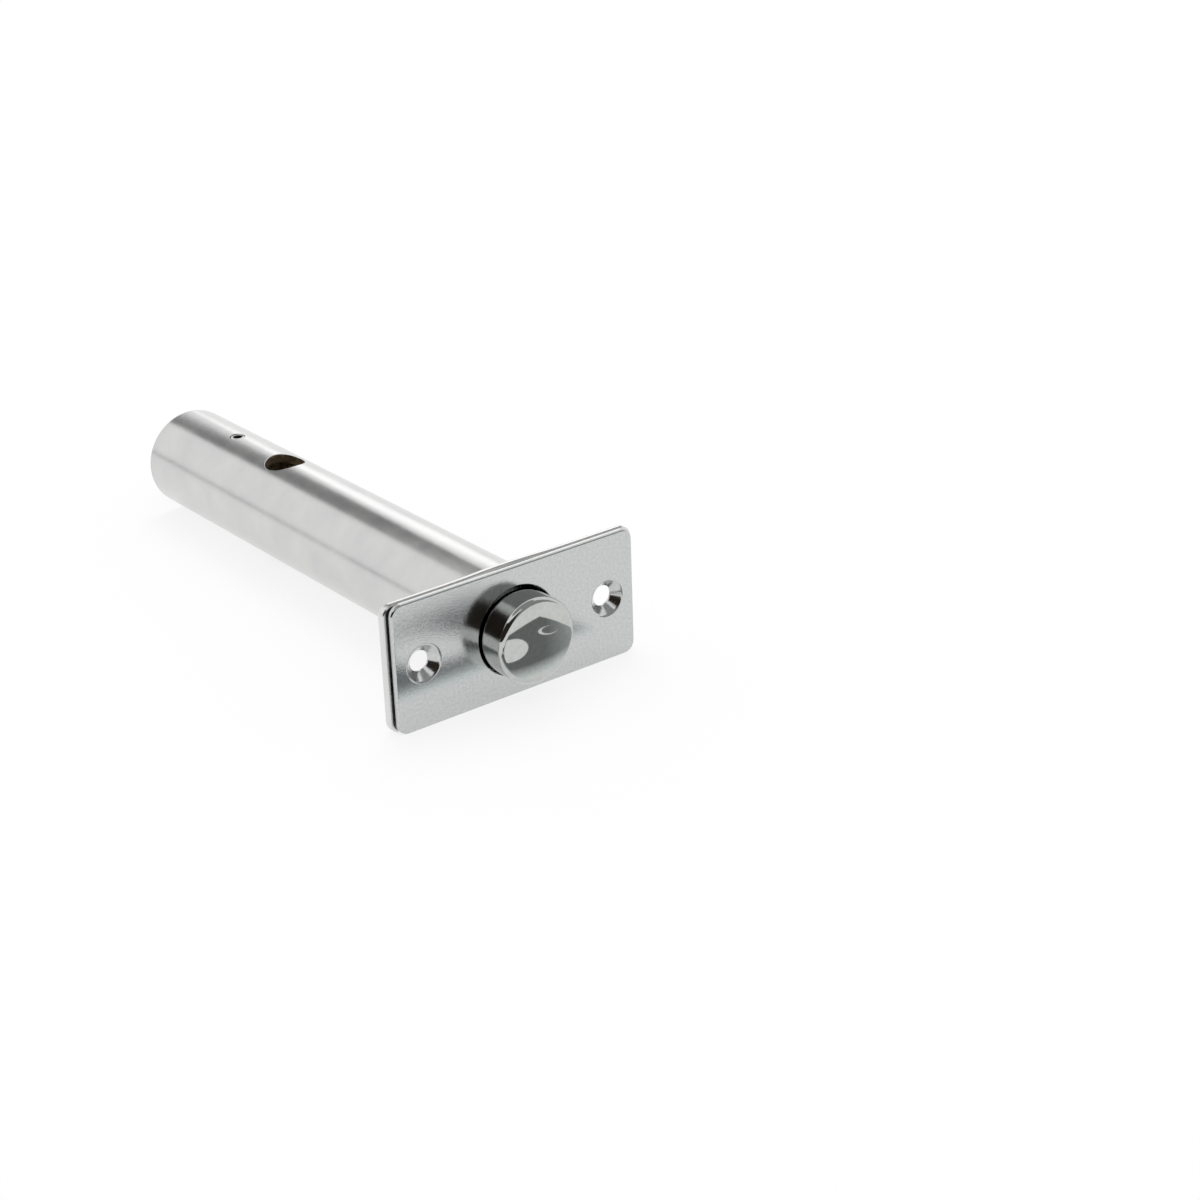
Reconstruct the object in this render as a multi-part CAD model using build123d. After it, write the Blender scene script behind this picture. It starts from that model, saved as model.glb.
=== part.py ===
"""Door rack bolt: a round bolt with rack teeth that a splined key winds in and out of a tubular barrel."""
import os
from math import asin, cos, hypot, pi, radians, sin, sqrt, tan

from build123d import *

# Frame: X along the faceplates, Y back along the barrel, Z up.
# The origin is the middle of the front plate's outer face, on the axis of the barrel.
# All sizes are in millimetres. The bolt is drawn part way out, as it is carried.

# Barrel tube, with a thinner spigot that is rolled over in front of the inner plate
tube_diameter = 20.0
tube_wall = 1.7
tube_end = 113.7
tube_end_chamfer = 0.3
spigot_step = 0.5
lip_width = 0.4

# Front plate, pressed from thin sheet
plate_length = 52.0
plate_height = 24.5
plate_corner = 2.2
front_thickness = 0.8
front_edge_round = 0.3
bolt_hole_margin = 0.15
bolt_hole_chamfer = 0.15

# Screw holes: conical cups pressed back out of the front plate
screw_spacing = 40.0
countersink_diameter = 7.0
countersink_angle = 90.0
countersink_chamfer = 0.15
screw_bore = 3.9
screw_bore_land = 0.35

# Inner plate, a little longer and lower than the front one, and bowed back where the barrel was pressed in
inner_overhang = 0.8
inner_inset = 0.25
inner_thickness = 2.0
inner_corner = 2.0
inner_front_chamfer = 0.2
inner_rear_round = 0.8
plate_gap = 0.5
bow_rise = 0.5
bow_half_width = 14.0

# Key hole through both walls of the tube, and the slit guide pin in its top wall
key_hole_diameter = 7.8
key_hole_chamfer = 0.15
key_hole_from_face = 75.9
pin_hole_diameter = 3.0
pin_from_face = 93.8
pin_wall = 0.5
pin_slit = 0.4
pin_end_chamfer = 0.15
pin_below_surface = 0.1

# Bolt, with a slightly domed, round-edged nose and a groove for the guide pin
bolt_play = 0.25
bolt_edge_round = 1.0
nose_radius = 65.0
nose_reach = 6.4
bolt_throw = 11.0
tail_wall = 4.0
tail_chamfer = 0.6
groove_width = 3.2
groove_depth = 2.4

# Rack, cut in one side of the slot that the key passes through
rack_module = 1.0
key_teeth = 6
tooth_height = 1.7
tooth_tip_share = 0.45
pressure_angle = 20.0
rack_teeth = 5

# Friction ball and its spring, in a pocket in the top of the bolt
ball_diameter = 3.0
ball_from_face = 25.0
pocket_depth = 7.5
spring_wire = 0.4
spring_inset = 0.2
spring_turns = 4
spring_wire_sides = 6

# Clearances
seat_clearance = 0.03
cup_clearance = 0.3
running_clearance = 0.1
pocket_clearance = 0.1
ball_clearance = 0.05
spring_clearance = 0.05
pin_tip_clearance = 0.3

# What follows from the sizes above
tube_radius = tube_diameter / 2
bore_radius = tube_radius - tube_wall
spigot_radius = tube_radius - spigot_step
screw_places = (-screw_spacing / 2, screw_spacing / 2)
inner_front = front_thickness + plate_gap
inner_rear = inner_front + inner_thickness
lip_front = inner_front + bow_rise
sink_half_angle = radians(countersink_angle / 2)
sink_depth = (countersink_diameter - screw_bore) / 2 / tan(sink_half_angle)
cup_end = sink_depth + screw_bore_land
cup_radius = countersink_diameter / 2 + front_thickness * (1 - sin(sink_half_angle)) / cos(sink_half_angle)
bolt_hole_radius = bore_radius + bolt_hole_margin
bolt_radius = bore_radius - bolt_play
bolt_axis = running_clearance - bolt_play
bolt_top = bolt_axis + bolt_radius
retract_travel = nose_reach
extend_travel = bolt_throw - nose_reach
tail_end = pin_from_face + extend_travel + groove_width / 2 + tail_wall
key_pitch_radius = rack_module * key_teeth / 2
slot_half_width = key_pitch_radius + tooth_height * (1 - tooth_tip_share)
ball_height = bore_radius - ball_clearance - ball_diameter / 2

# Length of a cutter that passes right through, and the distance within which an edge is found
cut = tube_diameter
near = 0.001


def rod(radius, start, stop):
    """Cylinder along Y between two stations."""
    return Pos(0, (start + stop) / 2, 0) * Rot(90, 0, 0) * Cylinder(radius, stop - start)


def cone(start_radius, stop_radius, start, stop):
    """Frustum along Y, from one radius at the first station to another at the second."""
    return Pos(0, (start + stop) / 2, 0) * Rot(-90, 0, 0) * Cone(start_radius, stop_radius, stop - start)


def drill(radius, along, bottom, top):
    """Vertical cylinder at a station along the barrel."""
    return Pos(0, along, (bottom + top) / 2) * Cylinder(radius, top - bottom)


def cup_radius_at(station):
    """Outer radius of a screw cup at a station behind the front plate."""
    return cup_radius - (station - front_thickness) * tan(sink_half_angle)


def plate_blank(length, height, corner, start, stop):
    """Rounded rectangle in the plane of the faceplates, with a thickness along Y."""
    outline = Plane.XZ.offset(-start) * RectangleRounded(length, height, corner)
    return extrude(outline, amount=start - stop)


def circles(shape, radius, axis, station):
    """Circular edges of one radius that lie at a station on an axis."""
    found = shape.edges().filter_by(GeomType.CIRCLE).filter_by_position(axis, station - near, station + near)
    return [edge for edge in found if abs(edge.radius - radius) < near]


def drilled_rims(shape, along, radius):
    """Curved rims that a vertical hole leaves in the outside of the tube."""
    def on_tube(point):
        return abs(hypot(point.X, point.Z) - tube_radius) < near and abs(point.Y - along) < radius + near
    bent = [edge for edge in shape.edges() if edge.geom_type not in (GeomType.LINE, GeomType.CIRCLE)]
    return [edge for edge in bent if on_tube(edge @ 0) and on_tube(edge @ 0.5)]


def outline_edges(shape, facing):
    """Outer edges of the broad side that faces forwards (-1) or back (1), without its seams."""
    faces = [face for face in shape.faces() if face.normal_at().Y * facing > 0.9]
    edges = [edge for face in faces for edge in face.edges()]
    return [edge for edge in edges if sum(edge.is_same(other) for other in edges) == 1]


def bow_line(station):
    """Edge of the bowed plate seen from above: straight ends and a soft hump towards the barrel."""
    far = plate_length
    half = bow_half_width
    mid = station + bow_rise / 2
    left = TangentArc((-half, station), (-half / 2, mid), tangent=(1, 0))
    crest = ThreePointArc((-half / 2, mid), (0, station + bow_rise), (half / 2, mid))
    right = TangentArc((half, station), (half / 2, mid), tangent=(-1, 0))
    ends = [Line((side * far, station), (side * half, station)) for side in (-1, 1)]
    return [ends[0], left, crest, right, ends[1]]


def bow_slab(start, stop):
    """Slab whose two broad faces both follow the bow of the inner plate."""
    front = bow_line(start)
    rear = bow_line(stop)
    sides = [Line(front[end] @ 0, rear[end] @ 0) for end in (0, -1)]
    return extrude(make_face(front + rear + sides), amount=plate_height, both=True)


def make_front_plate():
    """Thin faceplate with rounded edges, the bolt hole and two pressed screw cups."""
    plate = plate_blank(plate_length, plate_height, plate_corner, 0, front_thickness)
    plate = fillet(outline_edges(plate, -1), front_edge_round)
    cup = cone(cup_radius, cup_radius_at(cup_end), front_thickness, cup_end)
    sink = cone(countersink_diameter / 2, screw_bore / 2, 0, sink_depth) + rod(screw_bore / 2, 0, cup_end)
    for place in screw_places:
        plate = plate + Pos(place, 0, 0) * cup - Pos(place, 0, 0) * sink
    plate -= rod(bolt_hole_radius, 0, front_thickness)
    plate = chamfer(circles(plate, bolt_hole_radius, Axis.Y, 0), bolt_hole_chamfer)
    return chamfer(circles(plate, countersink_diameter / 2, Axis.Y, 0), countersink_chamfer)


def make_inner_plate():
    """Bowed plate that carries the barrel, with plain holes that clear the front plate's cups."""
    length = plate_length + 2 * inner_overhang
    height = plate_height - 2 * inner_inset
    blank = plate_blank(length, height, inner_corner, 0, inner_rear + 2 * bow_rise)
    plate = bow_slab(inner_front, inner_rear) & blank
    plate = fillet(outline_edges(plate, 1), inner_rear_round)
    plate = chamfer(outline_edges(plate, -1), inner_front_chamfer)
    hole_radius = cup_radius_at(inner_front) + cup_clearance
    for place in screw_places:
        plate -= Pos(place, 0, 0) * rod(hole_radius, 0, inner_rear)
    plate -= rod(spigot_radius, 0, inner_rear + bow_rise)
    plate -= rod(spigot_radius + lip_width, 0, lip_front)
    return plate - cone(spigot_radius + lip_width, spigot_radius, lip_front, lip_front + lip_width)


def make_barrel_tube():
    """Tube with its rolled spigot, the key hole through both walls and the hole for the guide pin."""
    shoulder = inner_rear + bow_rise + seat_clearance
    inside = spigot_radius - seat_clearance
    tube = rod(tube_radius, shoulder, tube_end) + rod(inside, lip_front, shoulder)
    tube += cone(inside + lip_width, inside, lip_front, lip_front + lip_width)
    tube = chamfer(circles(tube, tube_radius, Axis.Y, tube_end), tube_end_chamfer)
    tube -= rod(bore_radius, lip_front, tube_end)
    tube -= drill(key_hole_diameter / 2, key_hole_from_face, -cut, cut)
    tube = chamfer(drilled_rims(tube, key_hole_from_face, key_hole_diameter / 2), key_hole_chamfer)
    return tube - drill(pin_hole_diameter / 2, pin_from_face, 0, cut)


def make_guide_pin():
    """Slit spring pin, driven through the tube's top wall into the groove of the bolt."""
    outer = pin_hole_diameter / 2 - seat_clearance
    bottom = bolt_top - groove_depth + pin_tip_clearance
    top = tube_radius - pin_below_surface
    pin = drill(outer, pin_from_face, bottom, top)
    pin = chamfer(circles(pin, outer, Axis.Z, top) + circles(pin, outer, Axis.Z, bottom), pin_end_chamfer)
    pin -= drill(outer - pin_wall, pin_from_face, bottom, top)
    slit = Box(outer, pin_slit, top - bottom, align=(Align.MIN, Align.CENTER, Align.MIN))
    return pin - Pos(0, pin_from_face, bottom) * slit


def make_rack_slot():
    """Upright slot for the key, as long as the throw, with rack teeth left standing on one side."""
    middle = key_hole_from_face + (extend_travel - retract_travel) / 2
    slot = Pos(0, middle) * Rot(0, 0, 90) * SlotCenterToCenter(bolt_throw, 2 * slot_half_width)
    tip = slot_half_width - tooth_height
    pitch = pi * rack_module
    slope = tan(radians(pressure_angle))
    half_tip = pitch / 4 - (key_pitch_radius - tip) * slope
    half_foot = half_tip + 2 * tooth_height * slope
    foot = tip + 2 * tooth_height
    corners = [(tip, -half_tip), (foot, -half_foot), (foot, half_foot), (tip, half_tip)]
    tooth = make_face(Polyline(*corners, close=True))
    for index in range(rack_teeth):
        slot -= Pos(0, middle + (index - (rack_teeth - 1) / 2) * pitch) * tooth
    return extrude(slot, amount=cut, both=True)


def make_pin_groove():
    """Closed groove along the top of the bolt, which lets it slide by its throw and no further."""
    middle = pin_from_face + (extend_travel - retract_travel) / 2
    groove = Pos(0, middle) * Rot(0, 0, 90) * SlotCenterToCenter(bolt_throw, groove_width)
    return Pos(0, 0, bolt_top - groove_depth) * extrude(groove, amount=cut)


def make_bolt_bar():
    """Round bar with a slightly domed nose, a key slot with rack teeth, the pin groove and the ball pocket."""
    nose_angle = asin(bolt_radius / nose_radius)
    nose = -nose_reach
    rim = nose + nose_radius * (1 - cos(nose_angle))
    on_dome = (nose_radius * sin(nose_angle / 2), nose + nose_radius * (1 - cos(nose_angle / 2)))
    dome = ThreePointArc((0, nose), on_dome, (bolt_radius, rim))
    side = Polyline((bolt_radius, rim), (bolt_radius, tail_end), (0, tail_end), (0, nose))
    profile = make_face([dome, side])
    profile = fillet(profile.vertices().sort_by_distance((bolt_radius, rim))[0], bolt_edge_round)
    profile = chamfer(profile.vertices().sort_by_distance((bolt_radius, tail_end))[0], tail_chamfer)
    bar = revolve(profile, Axis.Y)
    pocket = drill(ball_diameter / 2 + pocket_clearance, ball_from_face, bolt_top - pocket_depth, cut)
    return Pos(0, 0, bolt_axis) * bar - make_rack_slot() - make_pin_groove() - pocket


def make_detent_ball():
    """Ball that rubs on the top of the bore and holds the bolt where the key leaves it."""
    return Pos(0, ball_from_face, ball_height) * Sphere(ball_diameter / 2)


def make_detent_spring():
    """Open coil between the floor of the pocket and the ball."""
    coil_radius = ball_diameter / 2 - spring_inset - spring_wire / 2
    reach = ball_diameter / 2 + spring_wire / 2 + spring_clearance
    low = bolt_top - pocket_depth + spring_wire / 2 + spring_clearance
    high = ball_height - sqrt(reach ** 2 - coil_radius ** 2)
    coil = Helix((high - low) / spring_turns, high - low, coil_radius, center=(0, ball_from_face, low))
    section = RegularPolygon(spring_wire / 2, spring_wire_sides)
    return sweep(Plane(coil @ 0, z_dir=coil % 0) * section, coil, is_frenet=True)


os.makedirs("parts", exist_ok=True)
pieces = {
    "barrel_tube": make_barrel_tube,
    "inner_plate": make_inner_plate,
    "front_plate": make_front_plate,
    "guide_pin": make_guide_pin,
    "bolt_bar": make_bolt_bar,
    "detent_ball": make_detent_ball,
    "detent_spring": make_detent_spring,
}
for name, make in pieces.items():
    export_step(make(), f"parts/{name}.step")
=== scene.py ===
"""Looks of the door rack bolt, in polished and satin chrome, and the studio that it was photographed in.

The screw cups, the bow of the inner plate, the toothed key slot and the slit of the pin are modelled."""
from math import asin, atan, cos, pi, radians, sin, sqrt, tan

import bmesh
import bpy
from mathutils import Matrix, Vector


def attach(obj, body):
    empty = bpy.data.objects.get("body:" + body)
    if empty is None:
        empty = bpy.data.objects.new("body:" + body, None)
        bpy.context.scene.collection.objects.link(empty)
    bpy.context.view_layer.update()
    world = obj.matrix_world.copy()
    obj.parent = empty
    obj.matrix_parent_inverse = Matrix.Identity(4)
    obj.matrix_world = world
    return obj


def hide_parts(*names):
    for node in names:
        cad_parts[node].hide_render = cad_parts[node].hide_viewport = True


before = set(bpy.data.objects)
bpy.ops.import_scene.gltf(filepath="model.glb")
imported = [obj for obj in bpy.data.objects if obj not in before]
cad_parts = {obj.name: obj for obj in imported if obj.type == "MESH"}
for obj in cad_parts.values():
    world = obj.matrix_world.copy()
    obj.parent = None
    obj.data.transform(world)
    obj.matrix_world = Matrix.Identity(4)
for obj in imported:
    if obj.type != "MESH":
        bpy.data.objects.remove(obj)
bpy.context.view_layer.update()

# Sizes are in millimetres, in the frame of the CAD: X along the plates, Y back along the barrel, Z up.
MM = 0.001

# Barrel tube
tube_radius = 10.0
bore_radius = 8.3
tube_front = 1.8
tube_shoulder = 3.83
tube_end = 113.7
tube_end_round = 0.3
spigot_radius = 9.47
lip_width = 0.4
key_hole_radius = 3.9
key_hole_place = 75.9
pin_hole_radius = 1.5
pin_place = 93.8
hole_rim_round = 0.15
pin_hole_rim_round = 0.03

# Guide pin
pin_radius = 1.47
pin_wall = 0.5
pin_bottom = 5.8
pin_top = 9.9
pin_slit = 0.4
pin_end_chamfer = 0.15

# Front plate
front_length = 52.0
front_height = 24.5
front_corner = 2.2
front_thickness = 0.8
front_edge_round = 0.4
bolt_hole_radius = 8.45
bolt_hole_round = 0.15
screw_places = (-20.0, 20.0)
sink_radius = 3.5
sink_round = 0.9
sink_depth = 1.55
screw_bore_radius = 1.95
cup_end = 1.9
cup_radius = 3.831
cup_overlap = 0.2

# Inner plate
inner_length = 53.6
inner_height = 24.0
inner_corner = 2.0
inner_front = 1.3
inner_rear = 3.3
inner_front_chamfer = 0.2
inner_rear_round = 0.8
inner_polished = 0.4
inner_screw_hole_radius = 3.631
inner_spigot_hole_radius = 9.5
lip_clearance = 0.03
bow_rise = 0.5
bow_half_width = 14.0

# Bolt
bolt_radius = 8.05
bolt_axis = -0.15
bolt_edge_round = 1.0
nose_radius = 90.0
nose_flare = 4.2e-5
nose_front = -6.4
side_stations = (0.0, 20.0, 60.0)
tail_end = 104.0
tail_chamfer = 0.6
slot_place = 75.0
slot_between_centres = 11.0
slot_half_width = 3.935
rack_teeth = 5
rack_pitch = pi
tooth_tip = 2.235
tooth_half_tip = 0.507
tooth_half_at_wall = 1.126
tooth_reach_into_wall = 1.7
groove_place = 92.9
groove_width = 3.2
groove_floor = 5.5
pocket_place = 25.0
pocket_radius = 1.6
pocket_floor = 0.4

# Fineness of the meshes
around = 256
hole_around = 96
pin_around = 64
pocket_around = 48
slot_end_steps = 32
groove_end_steps = 16
corner_steps = 8
round_steps = 6
nose_edge_steps = 10
dome_steps = 40
dome_fit_rounds = 8
bow_step = 0.5
bow_steps = 44

# How far cutters reach: out of any piece, past a face, and off a rim, where they end at an angle
clear = 14.0
past = 1.0
rim_overshoot = 0.04
rim_end = radians(78)

# Tolerances: to tell faces apart by place, normal and crease, and to merge points, in metres
surface_margin = 0.02
flat_normal = 0.99
crease = radians(28)
same_point = 1e-8
merge_distance = 1e-7


def arc(centre, radius, start, stop, steps):
    """Points on an arc in a plane of two coordinates, angles in radians."""
    turns = [start + (stop - start) * step / steps for step in range(steps + 1)]
    return [(centre[0] + radius * cos(turn), centre[1] + radius * sin(turn)) for turn in turns]


def mesh_piece(name, points, faces):
    """Object with a mesh of points in millimetres, doubled points merged and faces turned outwards."""
    mesh = bpy.data.meshes.new(name)
    mesh.from_pydata([Vector(point) * MM for point in points], [], faces)
    shape = bmesh.new()
    shape.from_mesh(mesh)
    bmesh.ops.remove_doubles(shape, verts=shape.verts, dist=same_point)
    bmesh.ops.recalc_face_normals(shape, faces=shape.faces)
    shape.to_mesh(mesh)
    shape.free()
    piece = bpy.data.objects.new(name, mesh)
    bpy.context.scene.collection.objects.link(piece)
    return piece


def loft(name, rings, wrapped=False, strips=False):
    """Skin over closed rings of points: joined last to first, or capped by faces or by upright strips."""
    count = len(rings[0])
    points = [point for ring in rings for point in ring]
    pairs = list(zip(range(len(rings)), range(1, len(rings))))
    if wrapped:
        pairs.append((len(rings) - 1, 0))
    faces = []
    for low, high in pairs:
        for step in range(count):
            after = (step + 1) % count
            faces.append((low * count + step, low * count + after, high * count + after, high * count + step))
    if not wrapped:
        for start in (0, (len(rings) - 1) * count):
            if strips:
                faces += [(start + step, start + step + 1, start + count - 2 - step, start + count - 1 - step)
                          for step in range(count // 2 - 1)]
            else:
                faces.append(tuple(range(start, start + count)))
    return mesh_piece(name, points, faces)


def spin(name, profile, place=(0, 0, 0), steps=around, wrapped=False):
    """Surface of revolution about Y from a profile of (station, radius) pairs."""
    turns = [2 * pi * step / steps for step in range(steps)]
    x, y, z = place
    rings = [[(x + radius * cos(turn), y + station, z + radius * sin(turn)) for turn in turns]
             for station, radius in profile]
    return loft(name, rings, wrapped)


def upright(name, outline, bottom, top):
    """Prism on an outline of (x, y) points, between two heights."""
    return loft(name, [[(x, y, height) for x, y in outline] for height in (bottom, top)])


def circle(radius, place, steps=hole_around):
    """Outline of a round upright hole about a place."""
    turns = [2 * pi * step / steps for step in range(steps)]
    return [(place[0] + radius * cos(turn), place[1] + radius * sin(turn)) for turn in turns]


def stadium(half_width, place, between, steps):
    """Outline of a slot that runs along the barrel."""
    rear = arc((0, place + between / 2), half_width, 0, pi, steps)
    front = arc((0, place - between / 2), half_width, pi, 2 * pi, steps)
    return rear + front


def carve(piece, cutter, operation="DIFFERENCE"):
    """Cut, or join, one piece with another, which is used up. The cut faces keep the cutter's material.

    Points that the cut leaves doubled are merged, so that the piece stays closed."""
    tool = piece.modifiers.new("carve", "BOOLEAN")
    tool.operation = operation
    tool.solver = "EXACT"
    tool.material_mode = "TRANSFER"
    tool.object = cutter
    bpy.context.view_layer.update()
    carved = bpy.data.meshes.new_from_object(piece.evaluated_get(bpy.context.evaluated_depsgraph_get()))
    piece.modifiers.remove(tool)
    shape = bmesh.new()
    shape.from_mesh(carved)
    bmesh.ops.remove_doubles(shape, verts=shape.verts, dist=merge_distance)
    bmesh.ops.dissolve_degenerate(shape, edges=shape.edges, dist=merge_distance)
    shape.to_mesh(carved)
    shape.free()
    piece.data = carved
    bpy.data.objects.remove(cutter)
    return piece


def smooth(piece):
    """Smooth shading inside each surface and crisp shading at its edges, with the broad faces kept flat."""
    piece.data.shade_smooth()
    piece.data.set_sharp_from_angle(angle=crease)
    even = piece.modifiers.new("even_normals", "WEIGHTED_NORMAL")
    even.keep_sharp = True
    return piece


def place_piece(piece, body, node):
    """Hand the piece to the frame: the body it rides on and the CAD node it stands for."""
    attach(smooth(piece), body)
    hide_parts(node)


def plate_outline(length, height, corner, inset, across):
    """Rounded rectangle as (x, z) points: the top from left to right, then the bottom back, in pairs."""
    half_x = length / 2 - inset
    half_z = height / 2 - inset
    bend = corner - inset
    right = [(half_x - bend + bend * sin(turn), half_z - bend + bend * cos(turn))
             for turn in (pi / 2 * step / corner_steps for step in range(corner_steps + 1))]
    left = [(-x, z) for x, z in reversed(right)]
    top = left + [(x, half_z) for x in across] + right
    return top + [(x, -z) for x, z in reversed(top)]


def bow(x):
    """How far the bowed plate stands back at a distance from its middle: a hump of equal, tangent arcs."""
    span = bow_half_width / 2
    arc_radius = span ** 2 / bow_rise
    if abs(x) < span:
        return bow_rise - x ** 2 / (2 * arc_radius)
    return max(bow_half_width - abs(x), 0) ** 2 / (2 * arc_radius)


def edge_round(radius, station, facing):
    """Rings of an outer edge round as (inset, station) pairs, from the broad face to the side."""
    turns = [pi / 2 * step / round_steps for step in range(round_steps + 1)]
    return [(radius * (1 - sin(turn)), station + facing * radius * (1 - cos(turn))) for turn in turns]


def rim(mouth, size, wall=0.0):
    """Flare of a cutter that leaves a round on a hole's rim, as (depth, radius) pairs from the wall outwards.

    The wall's angle is from the hole's axis. The last pair stands clear of the surface."""
    centre = mouth + size * tan((pi / 2 - wall) / 2)
    turns = [wall + (rim_end - wall) * step / round_steps for step in range(round_steps + 1)]
    pairs = [(size * (1 - sin(turn)), centre - size * cos(turn)) for turn in turns]
    run = (pairs[-1][0] + rim_overshoot) / cos(rim_end)
    return pairs + [(-rim_overshoot, pairs[-1][1] + run * sin(rim_end))]


def upright_hole(name, radius, place, flare, outer, material):
    """Cutter for a hole up through the tube's top wall, flared to leave a rounded rim on the outside."""
    turns = [2 * pi * step / hole_around for step in range(hole_around)]

    def ring(reach, height):
        return [(reach * cos(turn), place + reach * sin(turn), height(reach * cos(turn))) for turn in turns]

    flares = rim(radius, flare)
    rings = [ring(radius, lambda x: 0.0)]
    rings += [ring(reach, lambda x, drop=drop: sqrt(outer ** 2 - x ** 2) - drop) for drop, reach in flares]
    rings.append(ring(flares[-1][1], lambda x: clear))
    cutter = loft(name, rings)
    cutter.data.materials.append(material)
    return cutter


# Materials: procedural metals, whose pattern is in the piece's own coordinates.
# The colour and the gloss each span a band of the cloud's values.

colour_band = (0.3, 0.7)
gloss_band = (0.25, 0.75)


def wire(tree, output, target):
    """Link two sockets of a node tree."""
    tree.links.new(output, target)


def noise(tree, coordinates, size, detail, roughness=0.5):
    """Noise whose features are about a size in millimetres."""
    node = tree.nodes.new("ShaderNodeTexNoise")
    node.inputs["Scale"].default_value = 1 / (size * MM)
    node.inputs["Detail"].default_value = detail
    node.inputs["Roughness"].default_value = roughness
    wire(tree, coordinates, node.inputs["Vector"])
    return node.outputs["Fac"]


def remap(tree, value, low, high, to_low, to_high):
    """Value from one range set over to another, clamped."""
    node = tree.nodes.new("ShaderNodeMapRange")
    wire(tree, value, node.inputs["Value"])
    ranges = {"From Min": low, "From Max": high, "To Min": to_low, "To Max": to_high}
    for name, number in ranges.items():
        node.inputs[name].default_value = number
    return node.outputs["Result"]


def stretched(tree, coordinates, factors):
    """Coordinates scaled along each axis, to draw a grain out."""
    node = tree.nodes.new("ShaderNodeMapping")
    node.inputs["Scale"].default_value = factors
    wire(tree, coordinates, node.inputs["Vector"])
    return node.outputs["Vector"]


def tinted(tree, amount, dark, light):
    """Colour between two, by an amount."""
    node = tree.nodes.new("ShaderNodeMix")
    node.data_type = "RGBA"
    wire(tree, amount, node.inputs["Factor"])
    node.inputs["A"].default_value = (*dark, 1)
    node.inputs["B"].default_value = (*light, 1)
    return node.outputs["Result"]


def reach_along(tree, coordinates, direction):
    """How far coordinates reach along a direction, as their dot product."""
    node = tree.nodes.new("ShaderNodeVectorMath")
    node.operation = "DOT_PRODUCT"
    wire(tree, coordinates, node.inputs[0])
    node.inputs[1].default_value = direction
    return node.outputs["Value"]


def relief_node(tree, height, distance):
    """Bump node for a height that is scaled by a distance in metres."""
    bump = tree.nodes.new("ShaderNodeBump")
    bump.inputs["Strength"].default_value = 1.0
    bump.inputs["Distance"].default_value = distance
    wire(tree, height, bump.inputs["Height"])
    return bump


def metal(name, dark, light, gloss, grain, relief, draw=(1, 1, 1), cloud=9.0, lean=None):
    """Metal with a faint cloud in its colour, uneven gloss, and a fine grain in relief that factors draw out.

    A sheet that isn't quite true may also lean: its shading then falls off along X and Z by these slopes."""
    material = bpy.data.materials.new(name)
    material.use_nodes = True
    tree = material.node_tree
    surface = tree.nodes["Principled BSDF"]
    place = tree.nodes.new("ShaderNodeTexCoord").outputs["Object"]
    clouds = noise(tree, place, cloud, detail=3.0)
    fine = noise(tree, stretched(tree, place, draw), grain, detail=2.0, roughness=0.6)
    colour = tinted(tree, remap(tree, clouds, *colour_band, 0, 1), dark, light)
    wire(tree, colour, surface.inputs["Base Color"])
    wire(tree, remap(tree, clouds, *gloss_band, *gloss), surface.inputs["Roughness"])
    bump = relief_node(tree, fine, relief * MM)
    if lean:
        slope = reach_along(tree, place, (lean[0], 0, lean[1]))
        wire(tree, relief_node(tree, slope, 1.0).outputs["Normal"], bump.inputs["Normal"])
    wire(tree, bump.outputs["Normal"], surface.inputs["Normal"])
    surface.inputs["Metallic"].default_value = 1.0
    return material


# Dark and light colour, roughness from and to, size of the grain and height of its relief in millimetres
satin = metal("barrel_satin", (0.60, 0.60, 0.60), (0.66, 0.66, 0.65), (0.19, 0.23), 0.22, 0.010,
              draw=(0.5, 1.5, 0.5), cloud=7.0)
# Near-black metal for the bore and the pin hole's wall: painted shade inside the tube
bore_painted_shade = metal("barrel_bore_painted_shade", (0.060, 0.054, 0.048), (0.095, 0.086, 0.076), (0.40, 0.55), 0.3, 0.006, cloud=4.0)
inner_satin = metal("inner_plate_satin", (0.68, 0.68, 0.68), (0.74, 0.74, 0.73), (0.24, 0.30), 0.15, 0.0015)
# Dark metal for the front strips of the long edges: sheared grain, darkened with painted shade from the gap
sheared_and_shaded = metal("inner_plate_sheared_and_shaded", (0.20, 0.19, 0.18), (0.34, 0.33, 0.32), (0.38, 0.50), 0.35, 0.02,
                draw=(0.12, 2, 1), cloud=1.0)
pressed_chrome = metal("front_plate_chrome", (0.51, 0.52, 0.52), (0.605, 0.615, 0.615), (0.11, 0.15), 0.28,
                       0.013, cloud=0.5, lean=(-0.035, -0.052))
bolt_chrome = metal("bolt_chrome", (0.49, 0.50, 0.49), (0.56, 0.57, 0.555), (0.03, 0.06), 0.6, 0.0004,
                    cloud=0.8)
milled = metal("bolt_milled", (0.20, 0.155, 0.11), (0.52, 0.42, 0.30), (0.45, 0.60), 0.35, 0.03,
               draw=(1, 1, 0.2), cloud=1.2)
pin_steel = metal("pin_steel", (0.55, 0.54, 0.53), (0.66, 0.65, 0.64), (0.18, 0.30), 0.1, 0.002)
ball_steel = metal("ball_steel", (0.60, 0.60, 0.61), (0.66, 0.66, 0.67), (0.04, 0.08), 0.2, 0.0004)
wire_steel = metal("spring_steel", (0.34, 0.33, 0.32), (0.44, 0.43, 0.42), (0.22, 0.34), 0.08, 0.002)

# Pieces: five that are made here, and the ball and the spring of the CAD, which are kept


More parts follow.
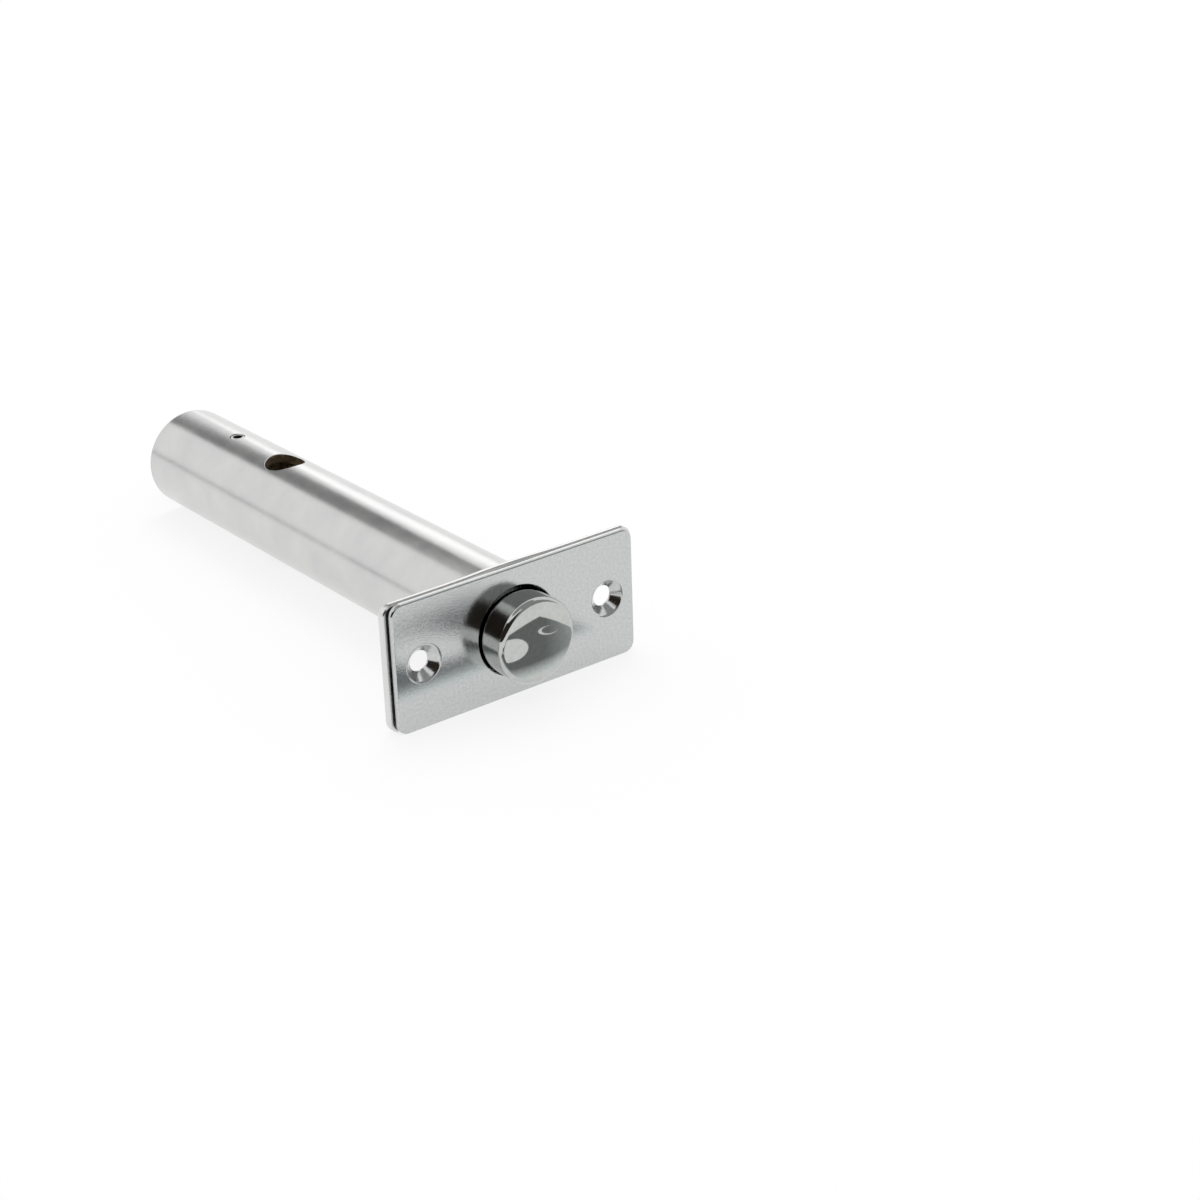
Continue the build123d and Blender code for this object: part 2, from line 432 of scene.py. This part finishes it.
def make_tube():
    """Tube with a rolled lip and spigot in front, a plain rear end, the key hole and the pin hole."""
    rear_centre = (tube_end - tube_end_round, tube_radius - tube_end_round)
    rear = arc(rear_centre, tube_end_round, pi / 2, 0, round_steps)
    profile = [(tube_front, bore_radius), (tube_front, spigot_radius + lip_width)]
    profile += [(tube_front + lip_width, spigot_radius), (tube_shoulder, spigot_radius)]
    profile += [(tube_shoulder, tube_radius)] + rear + [(tube_end, bore_radius)]
    tube = spin("barrel_shell", profile, wrapped=True)
    tube.data.materials.append(satin)
    tube.data.materials.append(bore_painted_shade)
    # The bore's faces take the near-black metal: painted shade inside the tube
    for face in tube.data.polygons:
        corners = [tube.data.vertices[corner].co for corner in face.vertices]
        reach = max(Vector((corner.x, corner.z)).length for corner in corners)
        if reach < (bore_radius + surface_margin) * MM:
            face.material_index = len(tube.data.materials) - 1
    for facing in (1, -1):
        cutter = upright_hole("key_hole", key_hole_radius, key_hole_place, hole_rim_round, tube_radius, satin)
        if facing < 0:
            cutter.data.transform(Matrix.Rotation(pi, 4, "Y"))
        carve(tube, cutter)
    # The pin hole's wall takes the same painted shade
    carve(tube, upright_hole("pin_hole", pin_hole_radius, pin_place, pin_hole_rim_round, tube_radius, bore_painted_shade))
    tube.data.materials.append(milled)
    for face in tube.data.polygons:
        from_key_hole = Vector((face.center.x / MM, face.center.y / MM - key_hole_place)).length
        if from_key_hole < key_hole_radius + surface_margin:
            face.material_index = len(tube.data.materials) - 1
    return tube


def make_pin():
    """Slit spring pin as a swept ring section, open at the slit."""
    inner = pin_radius - pin_wall
    section = [(inner, pin_bottom), (pin_radius - pin_end_chamfer, pin_bottom)]
    section += [(pin_radius, pin_bottom + pin_end_chamfer), (pin_radius, pin_top - pin_end_chamfer)]
    section += [(pin_radius - pin_end_chamfer, pin_top), (inner, pin_top)]
    opening = asin(pin_slit / 2 / pin_radius)
    turns = [opening + (2 * pi - 2 * opening) * step / pin_around for step in range(pin_around + 1)]
    rings = [[(radius * cos(turn), pin_place + radius * sin(turn), height) for radius, height in section]
             for turn in turns]
    pin = loft("spring_pin", rings)
    pin.data.materials.append(pin_steel)
    return pin


def make_front_plate():
    """Pressed faceplate with a rounded front edge, the bolt hole and the two screw cups."""
    levels = edge_round(front_edge_round, 0.0, 1) + [(0.0, front_thickness)]
    rings = [[(x, station, z) for x, z in plate_outline(front_length, front_height, front_corner, inset, ())]
             for inset, station in levels]
    plate = loft("faceplate", rings)
    plate.data.materials.append(pressed_chrome)
    cup_end_radius = cup_radius - (cup_end - front_thickness)
    for place in screw_places:
        cup = spin("cup", [(front_thickness - cup_overlap, 0), (front_thickness - cup_overlap, cup_radius),
                           (front_thickness, cup_radius), (cup_end, cup_end_radius), (cup_end, 0)],
                   (place, 0, 0), hole_around)
        cup.data.materials.append(pressed_chrome)
        carve(plate, cup, "UNION")
        mouth = list(reversed(rim(sink_radius, sink_round, pi / 4)))
        profile = [(-past, 0), (-past, mouth[0][1])] + mouth
        profile += [(sink_depth, screw_bore_radius), (cup_end + past, screw_bore_radius), (cup_end + past, 0)]
        sink = spin("sink", profile, (place, 0, 0), hole_around)
        sink.data.materials.append(pressed_chrome)
        carve(plate, sink)
    mouth = list(reversed(rim(bolt_hole_radius, bolt_hole_round)))
    hole = spin("hole", [(-past, 0), (-past, mouth[0][1])] + mouth
                + [(front_thickness + past, bolt_hole_radius), (front_thickness + past, 0)])
    hole.data.materials.append(pressed_chrome)
    return carve(plate, hole)


def make_inner_plate():
    """Thicker plate behind it, bowed back at the barrel, with a rounded rear edge and sheared long edges.

    The front strips of the long edges, next to the gap, are dark: sheared grain with painted shade.
    """
    sheared_and_shaded_end = inner_rear - inner_rear_round - inner_polished
    front = [(inner_front_chamfer, inner_front), (0.0, inner_front + inner_front_chamfer), (0.0, sheared_and_shaded_end)]
    rear = list(reversed(edge_round(inner_rear_round, inner_rear, -1)))
    across = [bow_step * step for step in range(-bow_steps, bow_steps + 1)]
    rings = [[(x, station + bow(x), z)
              for x, z in plate_outline(inner_length, inner_height, inner_corner, inset, across)]
             for inset, station in front + rear]
    plate = loft("backplate", rings, strips=True)
    plate.data.materials.append(inner_satin)
    for place in screw_places:
        radius = inner_screw_hole_radius
        hole = spin("hole", [(0, 0), (0, radius), (clear, radius), (clear, 0)], (place, 0, 0), hole_around)
        hole.data.materials.append(inner_satin)
        carve(plate, hole)
    radius = inner_spigot_hole_radius
    lip_room = spigot_radius + lip_width + lip_clearance
    hole = spin("hole", [(0, 0), (0, lip_room), (tube_front, lip_room), (tube_front + lip_width, radius),
                         (clear, radius), (clear, 0)])
    hole.data.materials.append(inner_satin)
    carve(plate, hole)
    # The front strips of the top and bottom faces, next to the gap, take the dark metal: painted shade
    plate.data.materials.append(sheared_and_shaded)
    for face in plate.data.polygons:
        behind_bow = face.center.y / MM - bow(face.center.x / MM)
        if abs(face.normal.z) > flat_normal and behind_bow < sheared_and_shaded_end:
            face.material_index = len(plate.data.materials) - 1
    return plate


def make_bolt():
    """Round bar with a domed, round-edged nose, the toothed key slot, the pin groove and the ball pocket.

    The nose is nearly flat, and curves more towards its edge."""

    def dome_station(radius):
        return nose_front + radius ** 2 / (2 * nose_radius) + nose_flare * radius ** 4

    # The edge round meets the dome where both have one slope, which repeating this finds
    edge_centre_radius = bolt_radius - bolt_edge_round
    turn = 0.0
    for _ in range(dome_fit_rounds):
        meeting = edge_centre_radius + bolt_edge_round * sin(turn)
        turn = atan(meeting / nose_radius + 4 * nose_flare * meeting ** 3)
    edge_centre = dome_station(meeting) + bolt_edge_round * cos(turn)
    radii = [meeting * step / dome_steps for step in range(dome_steps + 1)]
    dome = [(dome_station(radius), radius) for radius in radii]
    edge = arc((edge_centre, edge_centre_radius), bolt_edge_round, pi - turn, pi / 2, nose_edge_steps)
    side = [(station, bolt_radius) for station in side_stations]
    tail = [(tail_end - tail_chamfer, bolt_radius), (tail_end, bolt_radius - tail_chamfer), (tail_end, 0)]
    bolt = spin("bolt_round", dome + edge[1:] + side + tail, (0, 0, bolt_axis))
    bolt.data.materials.append(bolt_chrome)
    slot_outline = stadium(slot_half_width, slot_place, slot_between_centres, slot_end_steps)
    key_slot = upright("key_slot", slot_outline, -clear, clear)
    flank = (tooth_half_at_wall - tooth_half_tip) / (slot_half_width - tooth_tip)
    root = slot_half_width + tooth_reach_into_wall
    half_root = tooth_half_tip + (root - tooth_tip) * flank
    for index in range(rack_teeth):
        middle = slot_place + (index - (rack_teeth - 1) / 2) * rack_pitch
        corners = [(tooth_tip, middle - tooth_half_tip), (root, middle - half_root),
                   (root, middle + half_root), (tooth_tip, middle + tooth_half_tip)]
        carve(key_slot, upright("tooth", corners, -clear - past, clear + past))
    groove_outline = stadium(groove_width / 2, groove_place, slot_between_centres, groove_end_steps)
    groove = upright("groove", groove_outline, groove_floor, clear)
    pocket = upright("pocket", circle(pocket_radius, (0, pocket_place), pocket_around), pocket_floor, clear)
    for cutter in (key_slot, groove, pocket):
        cutter.data.materials.clear()
        cutter.data.materials.append(milled)
        carve(bolt, cutter)
    for face in bolt.data.polygons:
        across, along = abs(face.center.x / MM), abs(face.center.y / MM - slot_place)
        if across < slot_half_width and along < slot_between_centres / 2:
            face.material_index = len(bolt.data.materials) - 1
    return bolt


place_piece(make_tube(), "barrel", "barrel_tube")
place_piece(make_pin(), "barrel", "guide_pin")
place_piece(make_front_plate(), "barrel", "front_plate")
place_piece(make_inner_plate(), "barrel", "inner_plate")
place_piece(make_bolt(), "bolt", "bolt_bar")
for node, finish in {"detent_ball": ball_steel, "detent_spring": wire_steel}.items():
    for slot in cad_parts[node].material_slots:
        slot.material = finish

# Studio: a pale table that the object stands on, a white room, and cards that only the metal shows.
# Lengths are in millimetres, those of the lamp in metres. The angles of the cards are in degrees.

table_slope = radians(1.14)
table_level = -12.27
table_reach = 6000.0
table_colour = (0.85, 0.85, 0.85)
table_lit = 0.25
table_glow = 0.80

mat_top = -10.45
mat_half_thickness = 0.05
mat_corners = [(-24.0, -10.6), (-24.5, -40.0), (26.5, -44.5), (26.0, -10.6)]
mat_holes = [((0.6, -29.1), 9.5), ((19.6, -28.7), 3.6), ((-18.2, -27.9), 3.6)]
mat_disc = ((20.25, -28.55), 3.0)
mat_tint = (0.94, 1, 1)
# The mat's glow is painted light and shade: lighter to the right, and a painted shadow on the table at its
# near edge
mat_glow = (0.205, 0.52)
mat_glow_from, mat_glow_to = -3, 8
mat_glow_direction = (0.78, 0.60, 0)
mat_shadow_fade_from, mat_shadow_fade_to = -17.3, -10.6

card_rows, card_columns = 8, 24
white = (1, 1, 1)
warm = (1, 0.8, 0.65)
cards = [
    # name, azimuths from +Y towards +X, elevations, distance, strength and tint
    ("room_left", (-180, -75), (0, 43), 1000, 0.03, warm),
    ("room_front", (120, 180), (0, 60), 1100, 0.35, white),
    ("ceiling", (-180, 180), (60, 89), 1500, 0.35, white),
    ("back_flag", (-2, 24), (27, 41), 1200, 0.13, white),
    ("back_softbox", (28, 42), (12, 27), 1300, 1.6, white),
    ("horizon", (-60, -20), (-3, 3), 1400, 0.35, white),
]

room_light = 0.80
room_seen = 1.0
lamp_size = 0.7
lamp_power = 3.0
lamp_place = (0.35, 0.45, 1.1)
lamp_aim = (0, 0.05, 0)


def greater(tree, first, second):
    """Greater of two values."""
    node = tree.nodes.new("ShaderNodeMath")
    node.operation = "MAXIMUM"
    wire(tree, first, node.inputs[0])
    wire(tree, second, node.inputs[1])
    return node.outputs[0]


def seen(tree):
    """One for rays from the camera, from gloss and through glass, and none for those that carry light."""
    path = tree.nodes.new("ShaderNodeLightPath").outputs
    camera_or_gloss = greater(tree, path["Is Camera Ray"], path["Is Glossy Ray"])
    return greater(tree, camera_or_gloss, path["Is Transmission Ray"])


def stage_material(name, colour, lit, glow):
    """Pale surface: plain to light, and to the eye and to reflections partly lit, with a glow added."""
    material = bpy.data.materials.new(name)
    material.use_nodes = True
    tree = material.node_tree
    tree.nodes.clear()
    output = tree.nodes.new("ShaderNodeOutputMaterial")
    plain = tree.nodes.new("ShaderNodeBsdfDiffuse")
    plain.inputs["Color"].default_value = (*colour, 1)
    part = tree.nodes.new("ShaderNodeBsdfDiffuse")
    part.inputs["Color"].default_value = (*[lit * value for value in colour], 1)
    shine = tree.nodes.new("ShaderNodeEmission")
    shine.inputs["Strength"].default_value = glow
    both = tree.nodes.new("ShaderNodeAddShader")
    wire(tree, part.outputs[0], both.inputs[0])
    wire(tree, shine.outputs[0], both.inputs[1])
    chosen = tree.nodes.new("ShaderNodeMixShader")
    wire(tree, seen(tree), chosen.inputs[0])
    wire(tree, plain.outputs[0], chosen.inputs[1])
    wire(tree, both.outputs[0], chosen.inputs[2])
    wire(tree, chosen.outputs[0], output.inputs["Surface"])
    return material


def shine_material(name, strength, tint):
    """Plain glow of one colour."""
    material = bpy.data.materials.new(name)
    material.use_nodes = True
    tree = material.node_tree
    tree.nodes.clear()
    shine = tree.nodes.new("ShaderNodeEmission")
    shine.inputs["Color"].default_value = (*tint, 1)
    shine.inputs["Strength"].default_value = strength
    wire(tree, shine.outputs[0], tree.nodes.new("ShaderNodeOutputMaterial").inputs["Surface"])
    return material


def only_in_gloss(board, strength, tint):
    """Make a board part of the studio, which nothing but the metal shows."""
    board.data.materials.clear()
    board.data.materials.append(shine_material(board.name, strength, tint))
    board.visible_camera = False
    board.visible_shadow = False
    board.visible_diffuse = False


def make_card(name, azimuths, elevations, distance, strength, tint):
    """Curved card about the object, between two azimuths from +Y towards +X and two elevations."""
    points = []
    for row in range(card_rows + 1):
        lift = radians(elevations[0] + (elevations[1] - elevations[0]) * row / card_rows)
        for column in range(card_columns + 1):
            turn = radians(azimuths[0] + (azimuths[1] - azimuths[0]) * column / card_columns)
            direction = (sin(turn) * cos(lift), cos(turn) * cos(lift), sin(lift))
            points.append([distance * part for part in direction])
    across = card_columns + 1
    faces = [(low, low + 1, low + across + 1, low + across)
             for row in range(card_rows) for low in range(row * across, row * across + card_columns)]
    only_in_gloss(mesh_piece(name, points, faces), strength, tint)


def make_table():
    """Table top, tilted a little because the plates stand lower than the barrel."""
    rise = table_reach * sin(table_slope)
    near, far = table_level - rise, table_level + rise
    corners = [(-table_reach, -table_reach, near), (table_reach, -table_reach, near),
               (table_reach, table_reach, far), (-table_reach, table_reach, far)]
    table = mesh_piece("table", corners, [(0, 1, 2, 3)])
    table.data.materials.append(stage_material("table_white", table_colour, table_lit, table_glow))


def make_mat():
    """Grey plate with three holes, low in front of the bolt, which the nose mirrors as in the photograph.

    Painted light and shade: lighter to the right, and a painted shadow fading to white at its near edge."""
    mat = upright("front_mat", mat_corners, mat_top - 2 * mat_half_thickness, mat_top)
    middle = mat_top - mat_half_thickness

    def disc(place, radius, half_height):
        return upright("disc", circle(radius, place), middle - half_height, middle + half_height)

    for place, radius in mat_holes:
        carve(mat, disc(place, radius, past))
    carve(mat, disc(*mat_disc, mat_half_thickness), "UNION")
    only_in_gloss(mat, mat_glow[0], mat_tint)
    tree = mat.data.materials[0].node_tree
    place = tree.nodes.new("ShaderNodeTexCoord").outputs["Object"]
    rightwards = reach_along(tree, place, mat_glow_direction)
    nearer = reach_along(tree, place, (0, 1, 0))
    # Painted light across the mat, and a painted shadow that fades to white at its near edge
    glow = remap(tree, rightwards, mat_glow_from * MM, mat_glow_to * MM, *mat_glow)
    painted_shadow_fade = remap(tree, nearer, mat_shadow_fade_from * MM, mat_shadow_fade_to * MM, 0, 1)
    wire(tree, greater(tree, glow, painted_shadow_fade), tree.nodes["Emission"].inputs["Strength"])


make_table()
make_mat()
for values in cards:
    make_card(*values)

world = bpy.data.worlds.new("studio")
world.use_nodes = True
bpy.context.scene.world = world
tree = world.node_tree
background = tree.nodes["Background"]
wire(tree, remap(tree, seen(tree), 0, 1, room_light, room_seen), background.inputs["Strength"])
background.inputs["Color"].default_value = (*white, 1)

lamp_data = bpy.data.lights.new("key_lamp", "AREA")
lamp_data.shape = "RECTANGLE"
lamp_data.size = lamp_size
lamp_data.size_y = lamp_size
lamp_data.energy = lamp_power
lamp = bpy.data.objects.new("key_lamp", lamp_data)
lamp.location = lamp_place
lamp.rotation_euler = (Vector(lamp_aim) - lamp.location).to_track_quat("-Z", "Y").to_euler()
lamp.visible_glossy = False
bpy.context.scene.collection.objects.link(lamp)

# Camera, where the photograph's was: its place in metres, and its turns

camera_place = (-0.229839, -0.324042, 0.187438)
heading, pitch, roll = radians(-37.45), radians(24.65), radians(-1.99)
camera_data = bpy.data.cameras.new("camera")
camera_data.sensor_width = 36.0
camera_data.lens = 75.06
camera_data.clip_start = 0.02
camera_data.clip_end = 50.0
camera = bpy.data.objects.new("camera", camera_data)
camera.matrix_world = (Matrix.Translation(camera_place) @ Matrix.Rotation(heading, 4, "Z")
                       @ Matrix.Rotation(pi / 2 - pitch, 4, "X") @ Matrix.Rotation(roll, 4, "Z"))
bpy.context.scene.collection.objects.link(camera)
bpy.context.scene.camera = camera
bpy.context.scene.view_settings.view_transform = "Standard"
